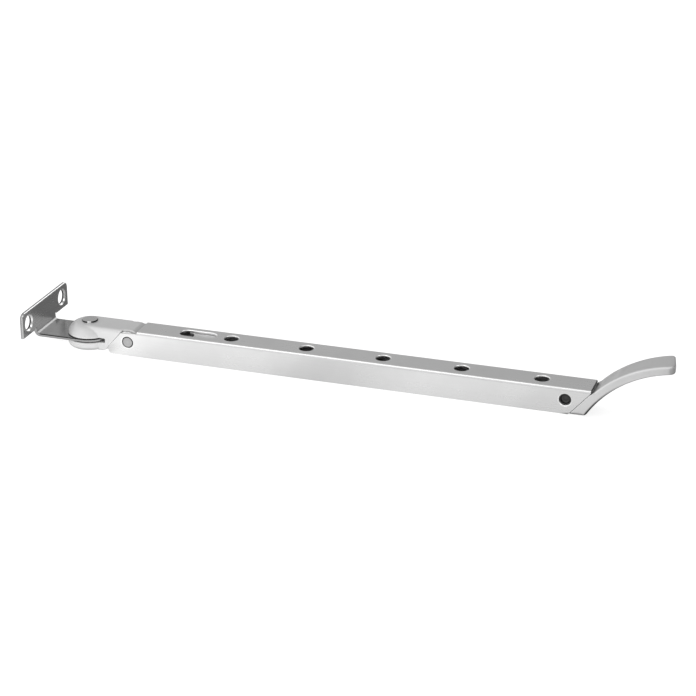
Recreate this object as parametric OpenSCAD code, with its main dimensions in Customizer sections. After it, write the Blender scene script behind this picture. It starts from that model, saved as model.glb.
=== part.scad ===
// Casement stay: a folded bracket, a forked knuckle that swings on it, and a hollow bar with
// peg holes that lifts on the knuckle and ends in a curved tail handle.
// The bar runs along +X, its front side faces -Y. The origin lies on the back face of the
// bracket's plate, midway between the two screw holes.

/* [Bar] */
// Outside width of the hollow bar
bar_w = 15; // [14:0.5:17]
// Outside height of the hollow bar
bar_h = 13.5; // [13:0.5:15]
// Wall thickness of the hollow bar
bar_wall = 1.2; // [1:0.1:1.4]
// Radius along the outside edges of the hollow bar
bar_edge_r = 1.6; // [1.5:0.1:2]
// Distance from the lift pin to the near end of the bar's top
top_lead = 4.9; // [4.5:0.1:6]
// Radius at the lower corner of the bar's ears
ear_r = 3; // [2:0.5:3]
// Slope of the mitred far end
mitre_angle = 49; // [45:1:52]

/* [Peg holes] */
// Diameter of a peg hole
hole_d = 7; // [6:0.5:8]
// Number of peg holes
hole_count = 5; // [3:1:7]
// Distance between neighbouring peg holes
hole_pitch = 38.3; // [30:0.1:45]
// Distance from the lift pin to the start of the closing slot
slot_lead = 25; // [15:0.5:35]
// Length of the closing slot
slot_l = 18.6; // [15:0.2:24]
// Distance from the end of the closing slot to the first peg hole
first_lead = 8; // [7:0.1:12]
// Distance from the last peg hole to the tail pin
tail_lead = 12.7; // [11:0.1:18]
// Distance from the tail pin to the far end of the bar's top
end_lead = 11.9; // [11:0.1:14]

/* [Knuckle] */
// Radius of the forked round head
head_r = 11; // [10.8:0.1:12.5]
// Rounding of the head's upper rim
head_top_r = 6.4; // [4:0.2:7]
// Rounding of the head's lower rim
head_bottom_r = 2.4; // [1:0.2:3]
// Rounding along the upper edges of the body
body_top_r = 1.8; // [1.2:0.2:4]
// Rounding along the lower edges of the body
body_bottom_r = 1.2; // [0.8:0.2:2]
// Distance from the swivel axis to the lift pin
lift_reach = 23.1; // [22.5:0.1:28]
// Height of the lift pin and the tail pin above the bar's middle
pin_rise = 0.8; // [0:0.1:1]
// Slope of the shoulder that stops the bar
shoulder_angle = 49.5; // [45:0.5:55]
// Distance from the lift pin to the ear's slanted edge
ear_reach = 5.4; // [5:0.1:5.6]
// Radius of the nose of the block between the bar's ears
nose_r = 6; // [5.6:0.1:6]
// Forward shift of the nose from the lift pin
nose_lead = 0.2; // [0:0.1:0.3]
// Upward shift of the nose from the lift pin
nose_rise = 0.35; // [0.3:0.05:0.5]
// Height of the ears beyond the lift pin, above the pin
ear_rise = 4.7; // [4.4:0.1:4.8]

/* [Bracket] */
// Thickness of the folded sheet
sheet_t = 1.6; // [1.2:0.1:2]
// Inside radius of the fold
bend_r = 1.5; // [1:0.1:2.5]
// Width of the upright plate
plate_w = 50; // [46:0.5:60]
// Height of the upright plate
plate_h = 12.7; // [12:0.1:16]
// Radius of the plate's upper corners
plate_corner_r = 3; // [1:0.5:4]
// Diameter of a screw hole
screw_d = 7; // [5:0.2:7.4]
// Diameter of a screw hole's bevelled rim on the plate's front
sink_d = 8.4; // [7.6:0.2:8.8]
// Distance between the two screw holes
screw_pitch = 36.5; // [34:0.5:37]
// Distance from the plate's back to the swivel axis
plate_reach = 25.5; // [25:0.5:35]
// Width of the tongue and of its round end
tongue_w = 21.4; // [20:0.2:21.4]
// Width of the notch on each side of the fold
relief_w = 1.2; // [0.8:0.1:2]
// Step between the fold and the plate's lower edge
relief_h = 0.7; // [0.4:0.1:1.5]

/* [Tail] */
// Thickness of the curved tail
tail_t = 4.4; // [3.5:0.1:5]
// Radius of the tail's middle line
tail_r = 55; // [50:1:65]
// Slope of the tail where it leaves the bar
tail_slope = 51.6; // [48:0.2:54]
// Slope of the tail at its tip
tip_slope = 6.3; // [0:0.1:15]
// Height of the tail's middle line at the end of the bar, above the bar's middle
tail_rise = 1; // [0.6:0.1:1.6]
// Rounding of the tail's long edges
tail_edge_r = 0.9; // [0.4:0.1:1.4]
// Radius of the tip's corners seen from above
tip_corner_r = 3; // [2:0.2:5]
// How much further the tip's front corner reaches than its back corner
tip_skew = 1.8; // [0:0.2:3]
// Turn of the tail over which its root blends into the curve
root_turn = 5; // [3:0.5:8]
// Step from the bar's underside up to the root's
root_step = 0.4; // [0.2:0.1:1]
// Rounding of the heel under the bar's end
heel_r = 3; // [1:0.5:4]

/* [Pins] */
// Diameter of the upright swivel rivet
rivet_d = 5; // [4:0.2:6]
// Diameter of the swivel rivet's heads
rivet_head_d = 7.8; // [7:0.2:9]
// Height of the swivel rivet's heads
rivet_head_h = 0.9; // [0.6:0.1:1.4]
// Diameter of the lift pin
lift_pin_d = 5.6; // [4:0.2:6]
// Diameter of the tail pin
tail_pin_d = 5.6; // [4:0.2:6]
// Depth of the tail pin's ends below the bar's sides
tail_pin_recess = 0.6; // [0.3:0.1:0.8]
// Bevel at the ends of the pins
pin_bevel = 0.5; // [0.2:0.1:0.8]

/* [Clearances] */
// Gap between parts that move past each other
turn_gap = 0.3; // [0.3:0.05:0.4]
// Radial clearance of a pin that turns in its hole
pin_clear = 0.06; // [0.03:0.01:0.1]
// Gap between fitted parts that do not move
fit_gap = 0.08; // [0.05:0.01:0.15]
// Gap between a peg hole and the pieces inside the bar
hole_clear = 0.8; // [0.4:0.1:1.4]
// Seam between the bar's mitred end and the tail
seam_gap = 0.15; // [0.1:0.05:0.3]

/* [Hidden] */
$fn = 96;
past = 1;
// Small step that makes a round cut cross a face where it would only touch it
nudge = 0.05;
// Turn by which the tail's sweep runs past the tip before its outline is cut
sweep_past = 3;

// Heights, measured from the tongue's middle, which is also the bar's middle
bar_top = bar_h / 2;
bar_in_top = bar_top - bar_wall;
bar_in_r = bar_edge_r - bar_wall;
ear_top = bar_in_top - bar_in_r;
core_top = bar_in_top - fit_gap;
knuckle_bottom = -core_top;
fold_top = sheet_t / 2 + bend_r;
plate_bottom = fold_top + relief_h;
screw_rise = plate_bottom + plate_h / 2;

// Places along the bar, measured from the swivel axis
plate_front = sheet_t - plate_reach;
slot_end = tongue_w / 2 + turn_gap;
top_start = lift_reach + top_lead;
peg_slot_start = lift_reach + slot_lead;
peg_slot_end = peg_slot_start + slot_l;
first_hole = peg_slot_end + first_lead;
last_hole = first_hole + (hole_count - 1) * hole_pitch;
tail_pin_at = last_hole + tail_lead;
bar_end = tail_pin_at + end_lead;
insert_start = peg_slot_start + hole_d / 2;
insert_end = first_hole - hole_d / 2 - hole_clear;
shank_start = last_hole + hole_d / 2 + hole_clear;

// Widths
bar_in_w = bar_w - 2 * bar_wall;
block_w = bar_in_w - 2 * turn_gap;
core_w = bar_in_w - 2 * fit_gap;
block_bottom = pin_rise + nose_rise - nose_r + nudge;
block_top_r = body_top_r - (bar_w - block_w) / 2 + 4 * nudge;

// The ear's slanted edge: its direction, its outward side and the two rounded ends
edge_along = [cos(shoulder_angle), sin(shoulder_angle)];
edge_out = [-sin(shoulder_angle), cos(shoulder_angle)];
lift_centre = [lift_reach, pin_rise];
nose_centre = lift_centre + [nose_lead, nose_rise];
ear_corner_z = ear_r - bar_top - nudge;
ear_corner_run = (ear_corner_z - pin_rise - (ear_reach - ear_r) * edge_out[1]) / edge_along[1];
ear_corner = lift_centre + (ear_reach - ear_r) * edge_out + ear_corner_run * edge_along;

// The tail's middle line is an arc; a slope s lies at centre + r * [-sin(s), cos(s)]
tail_centre = [bar_end + tail_r * sin(tail_slope), tail_rise - tail_r * cos(tail_slope)];
tail_in_r = tail_r - tail_t / 2;
tail_out_r = tail_r + tail_t / 2;
root_bottom = root_step - bar_top;
seam_top = bar_in_top - bar_wall;
function on_tail(r, slope) = tail_centre + r * [-sin(slope), cos(slope)];
function run_left(r, z) = tail_centre[0] - sqrt(r * r - pow(z - tail_centre[1], 2));
heel_corner = [run_left(tail_in_r, root_bottom), root_bottom];
heel_slope = asin((tail_centre[0] - heel_corner[0]) / tail_in_r);
heel_centre = [run_left(tail_in_r + heel_r, root_bottom + heel_r), root_bottom + heel_r];
heel_to_tail = (tail_centre - heel_centre) / (tail_in_r + heel_r);
tip_end = on_tail(tail_in_r, tip_slope)[0];
function mitre_at(z, shift) =
    [bar_end - (bar_in_top - z) / tan(mitre_angle) + shift / sin(mitre_angle), z];

// Puts what is drawn around the swivel axis into the part's frame
module at_swivel() {
    translate([plate_reach, 0, -screw_rise]) children();
}

// Extrudes a side view, drawn as X and Z, to a width centred on the bar
module side_view(width) {
    rotate([90, 0, 0]) linear_extrude(width, center = true) children();
}

// Extrudes a section, drawn as Y and Z, along X
module along_x(from, to) {
    translate([from, 0, 0]) rotate([90, 0, 90]) linear_extrude(to - from) children();
}

// Rectangle from one corner to the other with round corners
module round_box(low, high, r) {
    translate([low[0] + r, low[1]]) square([high[0] - low[0] - 2 * r, high[1] - low[1]]);
    translate([low[0], low[1] + r]) square([high[0] - low[0], high[1] - low[1] - 2 * r]);
    for (x = [low[0] + r, high[0] - r], y = [low[1] + r, high[1] - r]) translate([x, y]) circle(r);
}

// Pin lying across the bar, with beveled ends
module cross_pin(at, d, length) {
    translate([at[0], 0, at[1]]) rotate([90, 0, 0]) {
        cylinder(d = d, h = length - 2 * pin_bevel, center = true);
        for (side = [0, 1]) mirror([0, 0, side])
            translate([0, 0, length / 2 - pin_bevel])
                cylinder(d1 = d, d2 = d - 2 * pin_bevel, h = pin_bevel);
    }
}

// Round hole across the bar
module cross_hole(at, d) {
    translate([at[0], 0, at[1]]) rotate([90, 0, 0]) cylinder(d = d, h = bar_w + 2 * past, center = true);
}

// Outline of the upright plate with the narrow strip that leads into the fold
module plate_outline() {
    r = plate_corner_r;
    difference() {
        union() {
            translate([-plate_w / 2, plate_bottom]) square([plate_w, plate_h - r]);
            translate([r - plate_w / 2, plate_bottom]) square([plate_w - 2 * r, plate_h]);
            for (side = [-1, 1])
                translate([side * (plate_w / 2 - r), plate_bottom + plate_h - r]) circle(r);
        }
        for (side = [-1, 1]) translate([side * (tongue_w + relief_w) / 2, plate_bottom])
            square([relief_w, 2 * relief_h], center = true);
    }
    translate([-tongue_w / 2, fold_top]) square([tongue_w, relief_h + past]);
}

// Folded sheet: upright plate, quarter-round fold and flat tongue with a round end
module bracket() {
    color("dimgray") at_swivel() difference() {
        union() {
            along_x(-plate_reach, plate_front) plate_outline();
            translate([plate_front + bend_r, 0, fold_top]) side_view(tongue_w) intersection() {
                difference() {
                    circle(bend_r + sheet_t);
                    circle(bend_r);
                }
                translate(-[1, 1] * (bend_r + sheet_t)) square(bend_r + sheet_t);
            }
            translate([0, 0, -sheet_t / 2]) linear_extrude(sheet_t) {
                circle(d = tongue_w);
                translate([plate_front + bend_r, -tongue_w / 2]) square([-plate_front - bend_r, tongue_w]);
            }
        }
        cylinder(d = rivet_d + 2 * pin_clear, h = sheet_t + 2 * past, center = true);
        for (side = [-1, 1]) translate([-plate_reach, side * screw_pitch / 2, screw_rise]) rotate([0, 90, 0]) {
            translate([0, 0, -past]) cylinder(d = screw_d, h = sheet_t + 2 * past);
            translate([0, 0, sheet_t - (sink_d - screw_d) / 2])
                cylinder(d1 = screw_d, d2 = sink_d + 2 * past, h = (sink_d - screw_d) / 2 + past);
        }
    }
}

// Half section of the knuckle's round head
module head_profile() {
    square_top = bar_top - head_top_r;
    square_bottom = knuckle_bottom + head_bottom_r;
    translate([0, square_bottom]) square([head_r, square_top - square_bottom]);
    translate([0, knuckle_bottom]) square([head_r - head_top_r, bar_top - knuckle_bottom]);
    translate([0, knuckle_bottom]) square([head_r - head_bottom_r, square_top - knuckle_bottom]);
    translate([head_r - head_top_r, square_top]) intersection() {
        circle(head_top_r);
        square(head_top_r);
    }
    translate([head_r - head_bottom_r, square_bottom]) intersection() {
        circle(head_bottom_r);
        translate([0, -head_bottom_r]) square(head_bottom_r);
    }
}

// Side view of all that lies outward of the shoulder
module shoulder_side() {
    start = lift_centre + (ear_reach + turn_gap) * edge_out;
    polygon([
        start + bar_w * edge_along,
        start - 2 * bar_w * edge_along,
        start - 2 * bar_w * edge_along + 2 * bar_w * edge_out,
        start + bar_w * edge_along + 2 * bar_w * edge_out
    ]);
}

// Forked cast knuckle: round head, body flush with the bar, and a block between the bar's ears
module knuckle() {
    color("gainsboro") at_swivel() difference() {
        union() {
            rotate_extrude() head_profile();
            intersection() {
                along_x(0, lift_reach) {
                    round_box([-bar_w / 2, knuckle_bottom], [bar_w / 2, bar_top], body_top_r);
                    round_box([-bar_w / 2, knuckle_bottom], [bar_w / 2, 0], body_bottom_r);
                }
                side_view(bar_w + past) shoulder_side();
            }
            intersection() {
                side_view(block_w + past) {
                    translate(nose_centre) circle(nose_r);
                    translate([0, block_bottom]) square([nose_centre[0], bar_h]);
                }
                along_x(0, nose_centre[0] + bar_h)
                    round_box([-block_w / 2, -bar_h], [block_w / 2, bar_top], block_top_r);
            }
        }
        translate([-head_r - past, -head_r - past, -sheet_t / 2 - turn_gap])
            cube([head_r + past + slot_end, 2 * (head_r + past), sheet_t + 2 * turn_gap]);
        cylinder(d = rivet_d, h = 2 * bar_h, center = true);
        cross_hole(lift_centre, lift_pin_d + 2 * pin_clear);
    }
}

// Upright rivet through the fork and the tongue
module swivel_rivet() {
    crown = rivet_head_h / 3;
    color("silver") at_swivel() {
        translate([0, 0, knuckle_bottom]) cylinder(d = rivet_d, h = bar_top - knuckle_bottom);
        for (end = [[bar_top, 0], [knuckle_bottom, 1]]) translate([0, 0, end[0]]) mirror([0, 0, end[1]]) {
            cylinder(d = rivet_head_d, h = rivet_head_h - crown);
            translate([0, 0, rivet_head_h - crown])
                cylinder(d1 = rivet_head_d, d2 = rivet_head_d - 4 * crown, h = crown);
        }
    }
}

// Cross pin held flush in the bar's ears, on which the bar lifts
module lift_pin() {
    color("darkgray") at_swivel() cross_pin(lift_centre, lift_pin_d, bar_w);
}

// Section of the hollow bar
module bar_section() {
    difference() {
        round_box([-bar_w / 2, -bar_top], [bar_w / 2, bar_top], bar_edge_r);
        round_box([-bar_in_w / 2, -bar_in_top], [bar_in_w / 2, bar_in_top], bar_in_r);
    }
}

// Side view of the bar: rounded ears on the left, mitred end with a square top wall on the right
module bar_side() {
    translate(lift_centre) circle(ear_reach);
    translate(ear_corner) circle(ear_r);
    polygon([
        lift_centre + (ear_reach - nudge) * edge_out,
        ear_corner + (ear_r - nudge) * edge_out,
        ear_corner,
        [ear_corner[0], -bar_top - past],
        [top_start + past, -bar_top - past],
        [top_start + past, pin_rise + ear_rise],
        [lift_reach, pin_rise + ear_rise],
        lift_centre
    ]);
    polygon([
        [top_start, -bar_top - past],
        mitre_at(-bar_top - past, 0),
        mitre_at(bar_in_top, 0),
        [bar_end, bar_top + past],
        [top_start, bar_top + past]
    ]);
}

// Outline of the closing slot, seen from above
module peg_slot() {
    r = hole_d / 2;
    translate([peg_slot_start + r, -r]) square([slot_l - hole_d, hole_d]);
    for (x = [peg_slot_start + r, peg_slot_end - r]) translate([x, 0]) circle(r);
}

// Hollow bar with peg holes and the closing slot through its top and bottom
module stay_bar() {
    color("lightgray") at_swivel() difference() {
        intersection() {
            along_x(0, bar_end + past) bar_section();
            side_view(bar_w + past) bar_side();
        }
        for (i = [0 : hole_count - 1]) translate([first_hole + i * hole_pitch, 0, 0])
            cylinder(d = hole_d, h = bar_h + 2 * past, center = true);
        linear_extrude(bar_h + 2 * past, center = true) peg_slot();
        translate([0, -bar_in_w / 2, ear_top - nudge]) cube([top_start, bar_in_w, bar_h]);
        cross_hole(lift_centre, lift_pin_d);
        cross_hole([tail_pin_at, pin_rise], tail_pin_d);
    }
}

// Core that fills the hollow bar's section over a length
module bar_core(from, to) {
    along_x(from, to) round_box([-core_w / 2, -core_top], [core_w / 2, core_top], bar_in_r);
}

// Block inside the bar that closes the slot beyond its open round end
module slot_insert() {
    color("darkgray") at_swivel() difference() {
        bar_core(insert_start, insert_end);
        translate([insert_start, 0, 0]) cylinder(d = hole_d, h = 2 * bar_h, center = true);
    }
}

// Side view of the tail's root, flush with the bar beyond the mitre
module tail_root_side() {
    polygon([
        mitre_at(root_bottom, seam_gap),
        heel_corner,
        on_tail(tail_out_r, tail_slope - root_turn),
        mitre_at(seam_top, seam_gap)
    ]);
}

// Side view of what the rounded heel takes away
module heel_cut_side() {
    difference() {
        polygon([
            [heel_centre[0], root_bottom],
            [heel_centre[0], root_bottom - past],
            heel_corner + [past, -past],
            heel_centre + (heel_r + past) * heel_to_tail,
            heel_centre + heel_r * heel_to_tail
        ]);
        translate(heel_centre + nudge * heel_to_tail) circle(heel_r);
    }
}

// Outline of the tail seen from above, with round corners and a slanted end at the tip
module tail_plan() {
    side = bar_w / 2 + nudge - tip_corner_r;
    end = tip_end - tip_corner_r;
    offset(r = tip_corner_r)
        polygon([[shank_start, -side], [end, -side], [end - tip_skew, side], [shank_start, side]]);
}

// Cast tail: shank inside the bar, root at the mitre and the curved strip for the hand
module tail_handle() {
    color("gainsboro") at_swivel() difference() {
        union() {
            intersection() {
                bar_core(shank_start, bar_end);
                side_view(bar_w) polygon([
                    [shank_start, -bar_top],
                    mitre_at(-bar_top, past),
                    mitre_at(seam_top, past),
                    mitre_at(core_top, -seam_gap),
                    [shank_start, core_top]
                ]);
            }
            intersection() {
                side_view(bar_w) tail_root_side();
                along_x(tail_pin_at - bar_h, tip_end)
                    round_box([-bar_w / 2, root_bottom], [bar_w / 2, 2 * bar_h], bar_edge_r);
            }
            intersection() {
                translate([tail_centre[0], 0, tail_centre[1]]) rotate([90, 0, 0])
                    rotate(90 + tip_slope - sweep_past)
                        rotate_extrude(angle = heel_slope - tip_slope + sweep_past)
                            round_box([tail_in_r, -bar_w / 2], [tail_out_r, bar_w / 2], tail_edge_r);
                linear_extrude(2 * tail_r, center = true) tail_plan();
            }
        }
        side_view(bar_w + 2 * past) heel_cut_side();
        cross_hole([tail_pin_at, pin_rise], tail_pin_d);
    }
}

// Cross pin that holds the tail's shank in the bar, its ends below the surface
module tail_pin() {
    color("dimgray") at_swivel()
        cross_pin([tail_pin_at, pin_rise], tail_pin_d, bar_w - 2 * tail_pin_recess);
}

bracket();
knuckle();
swivel_rivet();
lift_pin();
stay_bar();
slot_insert();
tail_handle();
tail_pin();
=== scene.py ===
import math

import bmesh
import bpy
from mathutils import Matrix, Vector


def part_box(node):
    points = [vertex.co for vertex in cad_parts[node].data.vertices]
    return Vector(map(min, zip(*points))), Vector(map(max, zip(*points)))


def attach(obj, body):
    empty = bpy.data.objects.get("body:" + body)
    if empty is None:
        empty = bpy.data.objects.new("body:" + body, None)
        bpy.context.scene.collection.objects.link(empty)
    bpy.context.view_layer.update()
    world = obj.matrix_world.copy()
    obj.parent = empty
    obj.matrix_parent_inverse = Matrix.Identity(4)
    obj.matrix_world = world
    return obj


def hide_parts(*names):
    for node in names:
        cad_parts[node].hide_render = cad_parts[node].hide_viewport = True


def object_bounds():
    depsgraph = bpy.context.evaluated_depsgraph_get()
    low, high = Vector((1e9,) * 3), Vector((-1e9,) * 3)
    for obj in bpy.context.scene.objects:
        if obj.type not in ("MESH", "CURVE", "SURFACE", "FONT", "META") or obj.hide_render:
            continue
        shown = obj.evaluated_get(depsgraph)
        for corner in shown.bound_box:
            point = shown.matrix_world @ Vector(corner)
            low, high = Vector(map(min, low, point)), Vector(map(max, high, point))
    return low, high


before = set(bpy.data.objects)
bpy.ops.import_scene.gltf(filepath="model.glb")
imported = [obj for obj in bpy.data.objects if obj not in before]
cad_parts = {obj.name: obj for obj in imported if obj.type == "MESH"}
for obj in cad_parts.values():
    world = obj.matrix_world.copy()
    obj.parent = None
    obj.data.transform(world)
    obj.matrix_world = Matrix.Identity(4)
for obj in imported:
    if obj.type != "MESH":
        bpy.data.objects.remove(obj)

CAD_LOW, CAD_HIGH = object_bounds()
MM = 0.001

# Lengths and places are in millimetres in the part's frame, slopes in degrees; pins are given as (x, z).
# A turn is one part of a unit normal. A pair is two limits, or where an effect starts and is whole.

# The bar, its holes and its ends
BAR_MIDDLE_Z = -9.35
BAR_WIDTH = 15.0
BAR_HEIGHT = 13.5
BAR_WALL = 1.2
BAR_EDGE = 1.6  # outer radius along the bar
TOP_START = 53.5  # start of the top wall, behind the ears
BAR_END = 278.0  # end of the top wall, over the mitre
MITRE_SLOPE = 49.0
TUBE_SPARE = 5.0  # what the tube has past its end before it is trimmed
BLANK_SPARE = 1.0  # what the side blank has over and under the tube
HOLE_DIAMETER = 7.0
HOLE_COUNT = 5
HOLE_PITCH = 38.3
FIRST_HOLE = 100.2
NO_HOLES = 5.0  # stretch at each end of the top wall
SLOT_START = 73.6
SLOT_LENGTH = 18.6
LIFT_PIN = (48.6, -8.55)
TAIL_PIN = (266.1, -8.55)
PIN_DIAMETER = 5.6

# The bar's ears, measured from the lift pin
EAR_SLOPE = 49.5
EAR_REACH = 5.69  # to the slanted edge
EAR_TOP = 5.4  # radius over the pin
EAR_CORNER = 3.0  # radius of the lower corner
EAR_RISE = 4.7  # height of the edge from the ears to the top wall

# The bar's edges: rims rounded by their whole width, other edges by a share of it
RIM_WIDTH = 0.55
SEAM_SHARE = 0.2
PLAIN_EDGE_SHARE = 0.45
# Turns of the rim faces that are painted bright as a highlight
RIM_TURN = (0.1, 0.98)
PIN_RIM_NEAR = 0.05
MITRE_NEAR = 0.3
# The square end of the top wall, painted dark as shade
CUT_END_DEPTH = 0.5
CUT_END_TURN = 0.35

# Steps of the bar's round forms, and its cutters
RIM_STEPS = 3
EAR_TOP_STEPS = 8
EAR_CORNER_STEPS = 20
OUTER_STEPS = 7
INNER_STEPS = 3
SLOT_STEPS = 18
SLOT_ROUND = 0.4999  # share of the slot's width, just under half so that the rounding fits
DRILL_SIDES = 72
BORE = (-10.0, 400.0)  # ends of the cutter that hollows the tube
OPEN_TOP_DROP = 1.05  # share of the edge radius that the ears' cutter takes off the top

# The castings: grain and rounds of smoothing, the softer grip past the mitre, the undersides painted darker
# as shade
CAST_VOXEL = 0.24
CAST_ROUNDS = 6
GRIP = (2.0, 8.0)
GRIP_ROUNDS = 60
SMOOTH_PACE = 0.5
HEAD_FOOT = (39.0, 33.0)
HEAD_FOOT_TURN = (0.1, 0.45)
HEEL = (293.0, 279.0)
HEEL_TURN = (0.05, 0.25)
HEEL_DOWN = -0.05

# The folded bracket
SHEET = 1.6
SHEET_EDGE = 0.6
SHEET_EDGE_STEPS = 4
PLATE_FOOT = -5.6  # lower end of the plate, over the fold
# The plate's top front rim, painted bright as a highlight
PLATE_RIM = (SHEET - 0.9, SHEET + 0.1)
PLATE_RIM_TURN = (-0.15, 0.35)
# The tongue, whose top edge is painted dark as shade
TONGUE_TOP = -8.55
TONGUE_START = 4.0
TONGUE_RIM_DEPTH = 0.5
TONGUE_EDGE_SHARE = 0.75
BROKEN_TURN = (0.15, 0.97)
SCREW_SPACING = 36.5
SCREW_DIAMETER = 7.0
SCREW_BEVEL = 0.9
SCREW_EDGE_SHARE = 0.2
# The screw holes' walls, painted dark as shade
SCREW_WALL_NEAR = 0.1
SCREW_WALL_TURN = 0.5

# Rivet, pins and insert; the rows of a pin's end are (radius, depth under the end)
SWIVEL_X = 25.5
RIVET_HEAD = 3.9
RIVET_HEAD_HEIGHT = 0.9
RIVET_SHANK = 2.5
RIVET_BREAK = 0.08
RIVET_EDGE = 0.3
RIVET_EDGE_STEPS = 5
RIVET_DOME = 0.12
RIVET_SEAM = 3.7
# The spot of the rivet's rim that is painted bright as a glint: the way it faces and its turns
GLINT_WAY = (0.33, -0.94)
GLINT_TURN = 0.97
GLINT_SLANT = 0.3
TAIL_PIN_RECESS = 0.6
LIFT_PIN_SEAM = 2.42
TAIL_PIN_SEAM = 2.75
GROOVED_END = ((2.8, 0.55), (2.5, 0.55), (2.46, 0.2), (2.4, 0.1),
               (2.28, 0.05), (1.6, 0.02), (0.8, 0.005), (0.0, 0.0))
HOLLOW_END = ((2.8, 0.25), (2.7, 0.05), (2.55, 0.0), (2.4, 0.1), (2.25, 0.9),
              (2.0, 1.3), (1.2, 1.55), (0.6, 1.4), (0.0, 1.35))
ROUND_SIDES = 64
INSERT_EDGE = 0.3
INSERT_EDGE_STEPS = 3

# All pieces
SHARP_ANGLE = 32.0  # degrees, past which an edge is broken
FLAT_ANGLE = 0.6  # degrees, under which faces are joined
WELD = 0.002  # distance at which points are joined
TOUCH = 0.02  # distance that counts as touching
SHADING_WEIGHT = 100  # of large faces on the shading of their edges


# Small helpers for node trees and pieces

def put(tree, socket, value):
    """Links a socket to an input, or sets the input's own value."""
    if isinstance(value, bpy.types.NodeSocket):
        tree.links.new(value, socket)
    else:
        socket.default_value = value


def add(tree, kind, fields=None, **settings):
    """Adds a node with its settings and fills the inputs named in fields."""
    made = tree.nodes.new(kind)
    for name, value in settings.items():
        setattr(made, name, value)
    for name, value in (fields or {}).items():
        put(tree, made.inputs[name], value)
    return made


def new_tree(name, kind, inputs, outputs):
    """Node tree with named sockets: each input is (name, socket kind, value or None)."""
    tree = bpy.data.node_groups.new(name, kind)
    for label, socket, value in inputs:
        made = tree.interface.new_socket(name=label, in_out="INPUT", socket_type=socket)
        if value is not None:
            made.default_value = value
    for label, socket in outputs:
        tree.interface.new_socket(name=label, in_out="OUTPUT", socket_type=socket)
    return tree, tree.nodes.new("NodeGroupInput").outputs, tree.nodes.new("NodeGroupOutput").inputs


def sum_of(tree, a, b):
    """Output that adds two values."""
    return add(tree, "ShaderNodeMath", {0: a, 1: b}, operation="ADD").outputs[0]


def product_of(tree, a, b):
    """Output that multiplies two values."""
    return add(tree, "ShaderNodeMath", {0: a, 1: b}, operation="MULTIPLY").outputs[0]


def point_of(tree, x, y, z):
    """Output that joins three values to a vector."""
    return add(tree, "ShaderNodeCombineXYZ", {0: x, 1: y, 2: z}).outputs[0]


def weighted(tree, first, second, share):
    """Output with a share of the first value and the rest of the second."""
    return sum_of(tree, product_of(tree, first, share), product_of(tree, second, 1.0 - share))


def spread(tree, value, start, end, low=0.0, high=1.0, kind="LINEAR"):
    """Output that carries a value from start and end to low and high, and stops there."""
    fields = {0: value, 1: start, 2: end, 3: low, 4: high}
    return add(tree, "ShaderNodeMapRange", fields, interpolation_type=kind).outputs[0]


def noise(tree, place, scale, detail, roughness=0.5, distortion=0.0):
    """Output of a cloudy pattern."""
    fields = {"Vector": place, "Scale": scale, "Detail": detail, "Roughness": roughness,
              "Distortion": distortion}
    return add(tree, "ShaderNodeTexNoise", fields).outputs[0]


def blend(tree, share, first, second):
    """Output between two values."""
    mix = add(tree, "ShaderNodeMix", {0: share})
    put(tree, mix.inputs[2], first)
    put(tree, mix.inputs[3], second)
    return mix.outputs[0]


def between(value, limits):
    """True inside a pair of limits."""
    return limits[0] < value < limits[1]


def share_between(value, start, full):
    """How far a value is on its way from start to full, from 0 to 1."""
    return min(max((value - start) / (full - start), 0.0), 1.0)


def new_piece(name, mesh):
    """New object of the scene with a mesh."""
    piece = bpy.data.objects.new(name, mesh)
    bpy.context.scene.collection.objects.link(piece)
    return piece


def piece_of(shape, name):
    """New piece from built faces, turned outward."""
    bmesh.ops.recalc_face_normals(shape, faces=shape.faces)
    mesh = bpy.data.meshes.new(name)
    shape.to_mesh(mesh)
    shape.free()
    return new_piece(name, mesh)


def settle(piece):
    """Turns what the modifiers give into the piece's plain mesh."""
    shaped = piece.evaluated_get(bpy.context.evaluated_depsgraph_get())
    mesh = bpy.data.meshes.new_from_object(shaped)
    old = piece.data
    piece.modifiers.clear()
    piece.data = mesh
    mesh.name = piece.name
    bpy.data.meshes.remove(old)


def copy_of_solid(node, name):
    """New piece with the merged mesh of a CAD solid."""
    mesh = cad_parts[node].data.copy()
    mesh.materials.clear()
    shape = bmesh.new()
    shape.from_mesh(mesh)
    bmesh.ops.remove_doubles(shape, verts=shape.verts, dist=WELD * MM)
    bmesh.ops.dissolve_limit(shape, angle_limit=math.radians(FLAT_ANGLE), verts=shape.verts,
                             edges=shape.edges)
    shape.to_mesh(mesh)
    shape.free()
    if mesh.has_custom_normals:
        mesh.attributes.remove(mesh.attributes["custom_normal"])
    return new_piece(name, mesh)


def soften_casting(piece):
    """Gives a solid the soft edges of a casting."""
    remesh = piece.modifiers.new("skin", "REMESH")
    remesh.mode = "VOXEL"
    remesh.voxel_size = CAST_VOXEL * MM
    remesh.use_smooth_shade = True
    smooth = piece.modifiers.new("tumble", "SMOOTH")
    smooth.factor = SMOOTH_PACE
    smooth.iterations = CAST_ROUNDS
    settle(piece)


def mitre_x(z):
    """Place along X of the bar's mitred end at a height."""
    inner_top = BAR_MIDDLE_Z + BAR_HEIGHT / 2 - BAR_WALL
    return BAR_END - (inner_top - z) / math.tan(math.radians(MITRE_SLOPE))


def soften_past_mitre(piece):
    """Softens a piece past the bar's mitre, more and more up to the whole effect."""
    group = piece.vertex_groups.new(name="far part")
    for vert in piece.data.vertices:
        run = vert.co.x / MM - mitre_x(vert.co.z / MM)
        group.add([vert.index], share_between(run, *GRIP), "REPLACE")
    smooth = piece.modifiers.new("soft hand grip", "SMOOTH")
    smooth.factor = SMOOTH_PACE
    smooth.iterations = GRIP_ROUNDS
    smooth.vertex_group = group.name
    settle(piece)
    piece.vertex_groups.clear()


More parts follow.
